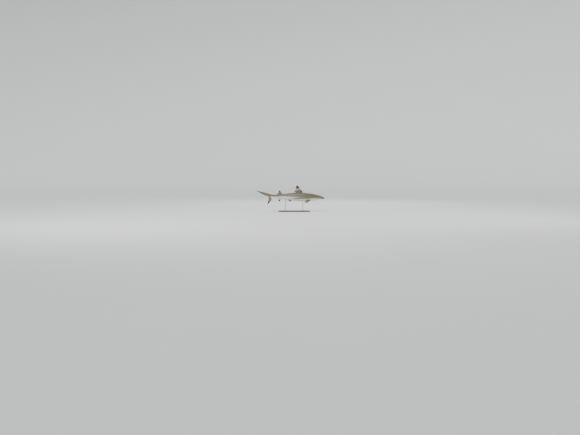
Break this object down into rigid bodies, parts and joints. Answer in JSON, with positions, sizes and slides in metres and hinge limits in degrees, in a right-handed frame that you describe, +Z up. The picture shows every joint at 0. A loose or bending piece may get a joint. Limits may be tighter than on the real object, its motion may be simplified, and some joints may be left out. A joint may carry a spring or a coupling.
{
  "type": "reef shark model on a display stand",
  "caption": "Still, life-size blacktip reef shark, cruising with its tail swept to one side, held on short rods over a low flat base.",
  "frame": {"origin": "centre of the stand base's underside, on the floor", "axes": "+X towards the shark's head, +Z up, +Y to the shark's left"},
  "size_m": [1.3635, 0.5112, 0.5348],
  "materials": {
    "skin": "smooth wet-looking skin, grey-brown back over a white belly",
    "fin_skin": "smooth skin with black fin tips",
    "eyeball": "glossy, grey-green iris",
    "base_wood": "satin dark stained wood",
    "rod_steel": "brushed"
  },
  "bodies": {
    "root": {"head": "skin", "lower_jaw": "skin", "trunk": "skin", "tail": "skin", "caudal_fin_upper_lobe": "fin_skin", "caudal_fin_lower_lobe": "fin_skin", "first_dorsal_fin": "fin_skin", "second_dorsal_fin": "fin_skin", "anal_fin": "fin_skin", "pectoral_fin_left": "fin_skin", "pectoral_fin_right": "fin_skin", "pelvic_fin_left": "fin_skin", "pelvic_fin_right": "fin_skin", "eye_left": "eyeball", "eye_right": "eyeball", "stand_base": "base_wood", "stand_rod_front": "rod_steel", "stand_rod_rear": "rod_steel", "stand_collar_front": "rod_steel", "stand_collar_rear": "rod_steel"}
  },
  "joints": []
}
